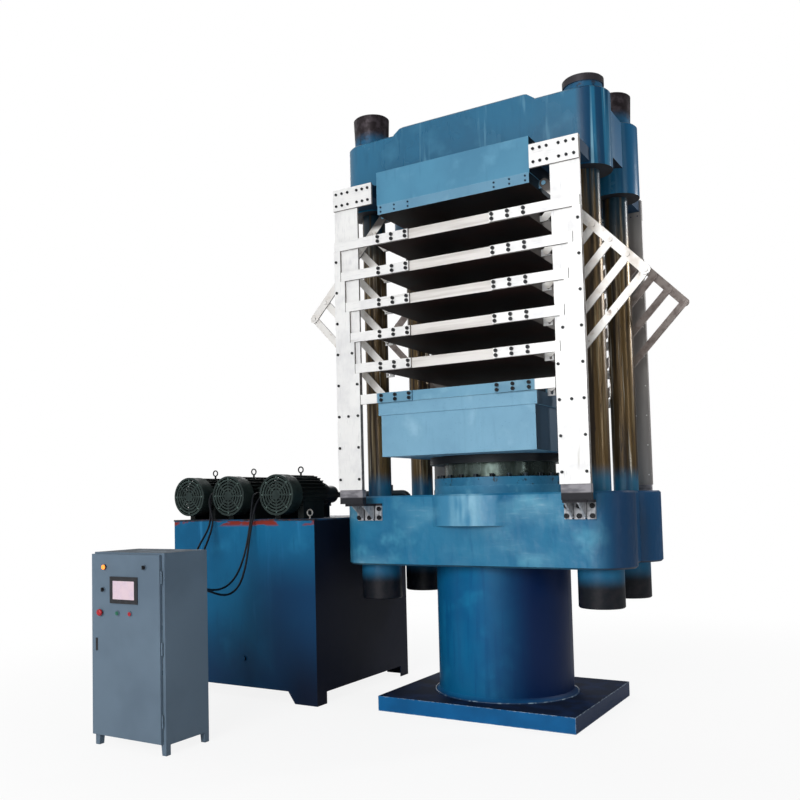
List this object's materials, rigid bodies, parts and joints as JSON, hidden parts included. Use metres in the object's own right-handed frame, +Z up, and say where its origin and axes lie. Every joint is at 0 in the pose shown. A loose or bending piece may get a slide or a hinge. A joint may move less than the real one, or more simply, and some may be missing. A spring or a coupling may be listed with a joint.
{
  "type": "multi-daylight hydraulic foaming press",
  "caption": "Upstroke hydraulic press with stacked heated plates, stepped guides and opening linkages, with its oil tank, motor-pump sets and control cabinet.",
  "frame": {"origin": "on the floor under the main cylinder's axis, in the base plate's underside", "axes": "+Z up along the main cylinder's axis, -Y to the operator's side, -X towards the hydraulic unit"},
  "size_m": [4.3946, 3.581, 5.088],
  "materials": {
    "blue_paint": "gloss enamel with dirt",
    "dark_blue_paint": "dark enamel, oily",
    "bare_steel": "ground bare steel",
    "plate_steel": "heat-darkened steel",
    "oiled_steel": "oiled, browned steel",
    "ram_steel": "ground steel",
    "motor_paint": "dark green-black enamel",
    "cowl_paint": "dark green enamel",
    "motor_steel": "machined steel",
    "grey_paint": "grey powder coat",
    "screen_plastic": "matte",
    "black_plastic": "matte",
    "red_plastic": "gloss",
    "green_plastic": "gloss",
    "cable_rubber": "matte"
  },
  "bodies": {
    "frame": {"main_cylinder": "blue_paint", "gland_ring": "blue_paint", "lower_beam": "blue_paint", "upper_beam": "blue_paint", "columns": "oiled_steel", "column_nuts": "dark_blue_paint", "guide_plates": "bare_steel", "step_plates": "bare_steel", "guide_brackets": "bare_steel", "top_bolster": "blue_paint", "top_hot_plate": "blue_paint", "oil_tank": "blue_paint", "tank_lid": "blue_paint", "motor_bodies": "motor_paint", "fan_cowls": "cowl_paint", "pump_pipework": "dark_blue_paint", "motor_cable_1": "cable_rubber", "motor_cable_2": "cable_rubber", "motor_cable_3": "cable_rubber", "motor_cable_4": "cable_rubber", "cabinet_body": "grey_paint"},
    "table": {"ram": "ram_steel", "moving_table": "blue_paint", "table_hot_plate": "blue_paint", "table_fittings": "bare_steel"},
    "plate_1": {"hot_plate_1": "plate_steel", "plate_fittings_1": "bare_steel"},
    "plate_2": {"hot_plate_2": "plate_steel", "plate_fittings_2": "bare_steel"},
    "plate_3": {"hot_plate_3": "plate_steel", "plate_fittings_3": "bare_steel"},
    "plate_4": {"hot_plate_4": "plate_steel", "plate_fittings_4": "bare_steel"},
    "plate_5": {"hot_plate_5": "plate_steel", "plate_fittings_5": "bare_steel"},
    "lever_right": {"levers_right": "bare_steel"},
    "link_right_1": {"links_right_1": "bare_steel"},
    "link_right_2": {"links_right_2": "bare_steel"},
    "link_right_3": {"links_right_3": "bare_steel"},
    "link_right_4": {"links_right_4": "bare_steel"},
    "link_right_5": {"links_right_5": "bare_steel"},
    "link_right_6": {"links_right_6": "bare_steel"},
    "lever_left": {"levers_left": "bare_steel"},
    "link_left_1": {"links_left_1": "bare_steel"},
    "link_left_2": {"links_left_2": "bare_steel"},
    "link_left_3": {"links_left_3": "bare_steel"},
    "link_left_4": {"links_left_4": "bare_steel"},
    "link_left_5": {"links_left_5": "bare_steel"},
    "link_left_6": {"links_left_6": "bare_steel"},
    "rotor_1": {"rotor_1": "motor_steel"},
    "rotor_2": {"rotor_2": "motor_steel"},
    "rotor_3": {"rotor_3": "motor_steel"},
    "door": {"cabinet_door": "grey_paint", "screen_unit": "screen_plastic"},
    "door_latch": {"door_latch": "black_plastic"},
    "emergency_stop": {"emergency_stop": "red_plastic"},
    "start_button": {"start_button": "green_plastic"},
    "stop_button": {"stop_button": "red_plastic"},
    "mode_switch": {"mode_switch": "black_plastic"},
    "power_switch": {"power_switch": "black_plastic"}
  },
  "joints": [
    {"name": "table_slide", "type": "slide", "parent": "frame", "child": "table", "axis": [0, 0, 1], "range_m": [0, 1.068]},
    {"name": "plate_1_slide", "type": "slide", "parent": "frame", "child": "plate_1", "axis": [0, 0, 1], "range_m": [0, 0.1785]},
    {"name": "plate_2_slide", "type": "slide", "parent": "frame", "child": "plate_2", "axis": [0, 0, 1], "range_m": [0, 0.3565]},
    {"name": "plate_3_slide", "type": "slide", "parent": "frame", "child": "plate_3", "axis": [0, 0, 1], "range_m": [0, 0.5345]},
    {"name": "plate_4_slide", "type": "slide", "parent": "frame", "child": "plate_4", "axis": [0, 0, 1], "range_m": [0, 0.7125]},
    {"name": "plate_5_slide", "type": "slide", "parent": "frame", "child": "plate_5", "axis": [0, 0, 1], "range_m": [0, 0.8905]},
    {"name": "lever_right_hinge", "type": "hinge", "parent": "frame", "child": "lever_right", "pos_m": [0.699, 0, 4.105], "axis": [0, -1, 0], "range_deg": [0, 33.88]},
    {"name": "link_right_1_hinge", "type": "hinge", "parent": "lever_right", "child": "link_right_1", "pos_m": [0.81912, 0, 3.975], "axis": [0, 1, 0], "range_deg": [0, 67.76]},
    {"name": "link_right_2_hinge", "type": "hinge", "parent": "lever_right", "child": "link_right_2", "pos_m": [0.93924, 0, 3.845], "axis": [0, 1, 0], "range_deg": [0, 67.76]},
    {"name": "link_right_3_hinge", "type": "hinge", "parent": "lever_right", "child": "link_right_3", "pos_m": [1.05936, 0, 3.715], "axis": [0, 1, 0], "range_deg": [0, 67.76]},
    {"name": "link_right_4_hinge", "type": "hinge", "parent": "lever_right", "child": "link_right_4", "pos_m": [1.17948, 0, 3.585], "axis": [0, 1, 0], "range_deg": [0, 67.76]},
    {"name": "link_right_5_hinge", "type": "hinge", "parent": "lever_right", "child": "link_right_5", "pos_m": [1.2996, 0, 3.455], "axis": [0, 1, 0], "range_deg": [0, 67.76]},
    {"name": "link_right_6_hinge", "type": "hinge", "parent": "lever_right", "child": "link_right_6", "pos_m": [1.41972, 0, 3.325], "axis": [0, 1, 0], "range_deg": [0, 67.76]},
    {"name": "lever_left_hinge", "type": "hinge", "parent": "frame", "child": "lever_left", "pos_m": [-0.699, 0, 4.105], "axis": [0, 1, 0], "range_deg": [0, 33.88]},
    {"name": "link_left_1_hinge", "type": "hinge", "parent": "lever_left", "child": "link_left_1", "pos_m": [-0.81912, 0, 3.975], "axis": [0, -1, 0], "range_deg": [0, 67.76]},
    {"name": "link_left_2_hinge", "type": "hinge", "parent": "lever_left", "child": "link_left_2", "pos_m": [-0.93924, 0, 3.845], "axis": [0, -1, 0], "range_deg": [0, 67.76]},
    {"name": "link_left_3_hinge", "type": "hinge", "parent": "lever_left", "child": "link_left_3", "pos_m": [-1.05936, 0, 3.715], "axis": [0, -1, 0], "range_deg": [0, 67.76]},
    {"name": "link_left_4_hinge", "type": "hinge", "parent": "lever_left", "child": "link_left_4", "pos_m": [-1.17948, 0, 3.585], "axis": [0, -1, 0], "range_deg": [0, 67.76]},
    {"name": "link_left_5_hinge", "type": "hinge", "parent": "lever_left", "child": "link_left_5", "pos_m": [-1.2996, 0, 3.455], "axis": [0, -1, 0], "range_deg": [0, 67.76]},
    {"name": "link_left_6_hinge", "type": "hinge", "parent": "lever_left", "child": "link_left_6", "pos_m": [-1.41972, 0, 3.325], "axis": [0, -1, 0], "range_deg": [0, 67.76]},
    {"name": "rotor_1_spin", "type": "hinge", "parent": "frame", "child": "rotor_1", "pos_m": [-2.76, 0, 1.788], "axis": [0, 1, 0], "continuous": true},
    {"name": "rotor_2_spin", "type": "hinge", "parent": "frame", "child": "rotor_2", "pos_m": [-2.29, 0, 1.788], "axis": [0, 1, 0], "continuous": true},
    {"name": "rotor_3_spin", "type": "hinge", "parent": "frame", "child": "rotor_3", "pos_m": [-1.75, 0, 1.788], "axis": [0, 1, 0], "continuous": true},
    {"name": "door_hinge", "type": "hinge", "parent": "frame", "child": "door", "pos_m": [-1.4566, -2.601, 0], "axis": [0, 0, 1], "range_deg": [0, 110]},
    {"name": "latch_hinge", "type": "hinge", "parent": "door", "child": "door_latch", "pos_m": [-2.082, -2.6085, 0.7645], "axis": [1, 0, 0], "range_deg": [-40, 0]},
    {"name": "emergency_stop_slide", "type": "slide", "parent": "door", "child": "emergency_stop", "axis": [0, 1, 0], "range_m": [0, 0.006], "stiffness_N_per_m": 600, "springref_m": -0.003},
    {"name": "start_button_slide", "type": "slide", "parent": "door", "child": "start_button", "axis": [0, 1, 0], "range_m": [0, 0.004], "stiffness_N_per_m": 300, "springref_m": -0.003},
    {"name": "stop_button_slide", "type": "slide", "parent": "door", "child": "stop_button", "axis": [0, 1, 0], "range_m": [0, 0.004], "stiffness_N_per_m": 300, "springref_m": -0.003},
    {"name": "mode_switch_turn", "type": "hinge", "parent": "door", "child": "mode_switch", "pos_m": [-2.01, -2.612, 1.118], "axis": [0, 1, 0], "range_deg": [0, 60]},
    {"name": "power_switch_turn", "type": "hinge", "parent": "door", "child": "power_switch", "pos_m": [-1.605, -2.612, 1.284], "axis": [0, 1, 0], "range_deg": [0, 90]}
  ],
  "couplings": [
    {"joint": "plate_1_slide", "follows": "table_slide", "ratio": 0.16667},
    {"joint": "plate_2_slide", "follows": "table_slide", "ratio": 0.33333},
    {"joint": "plate_3_slide", "follows": "table_slide", "ratio": 0.5},
    {"joint": "plate_4_slide", "follows": "table_slide", "ratio": 0.66667},
    {"joint": "plate_5_slide", "follows": "table_slide", "ratio": 0.83333},
    {"joint": "lever_right_hinge", "follows": "table_slide", "rad_per_m": 0.55348},
    {"joint": "link_right_1_hinge", "follows": "table_slide", "rad_per_m": 1.107},
    {"joint": "link_right_2_hinge", "follows": "table_slide", "rad_per_m": 1.107},
    {"joint": "link_right_3_hinge", "follows": "table_slide", "rad_per_m": 1.107},
    {"joint": "link_right_4_hinge", "follows": "table_slide", "rad_per_m": 1.107},
    {"joint": "link_right_5_hinge", "follows": "table_slide", "rad_per_m": 1.107},
    {"joint": "link_right_6_hinge", "follows": "table_slide", "rad_per_m": 1.107},
    {"joint": "lever_left_hinge", "follows": "table_slide", "rad_per_m": 0.55348},
    {"joint": "link_left_1_hinge", "follows": "table_slide", "rad_per_m": 1.107},
    {"joint": "link_left_2_hinge", "follows": "table_slide", "rad_per_m": 1.107},
    {"joint": "link_left_3_hinge", "follows": "table_slide", "rad_per_m": 1.107},
    {"joint": "link_left_4_hinge", "follows": "table_slide", "rad_per_m": 1.107},
    {"joint": "link_left_5_hinge", "follows": "table_slide", "rad_per_m": 1.107},
    {"joint": "link_left_6_hinge", "follows": "table_slide", "rad_per_m": 1.107}
  ]
}
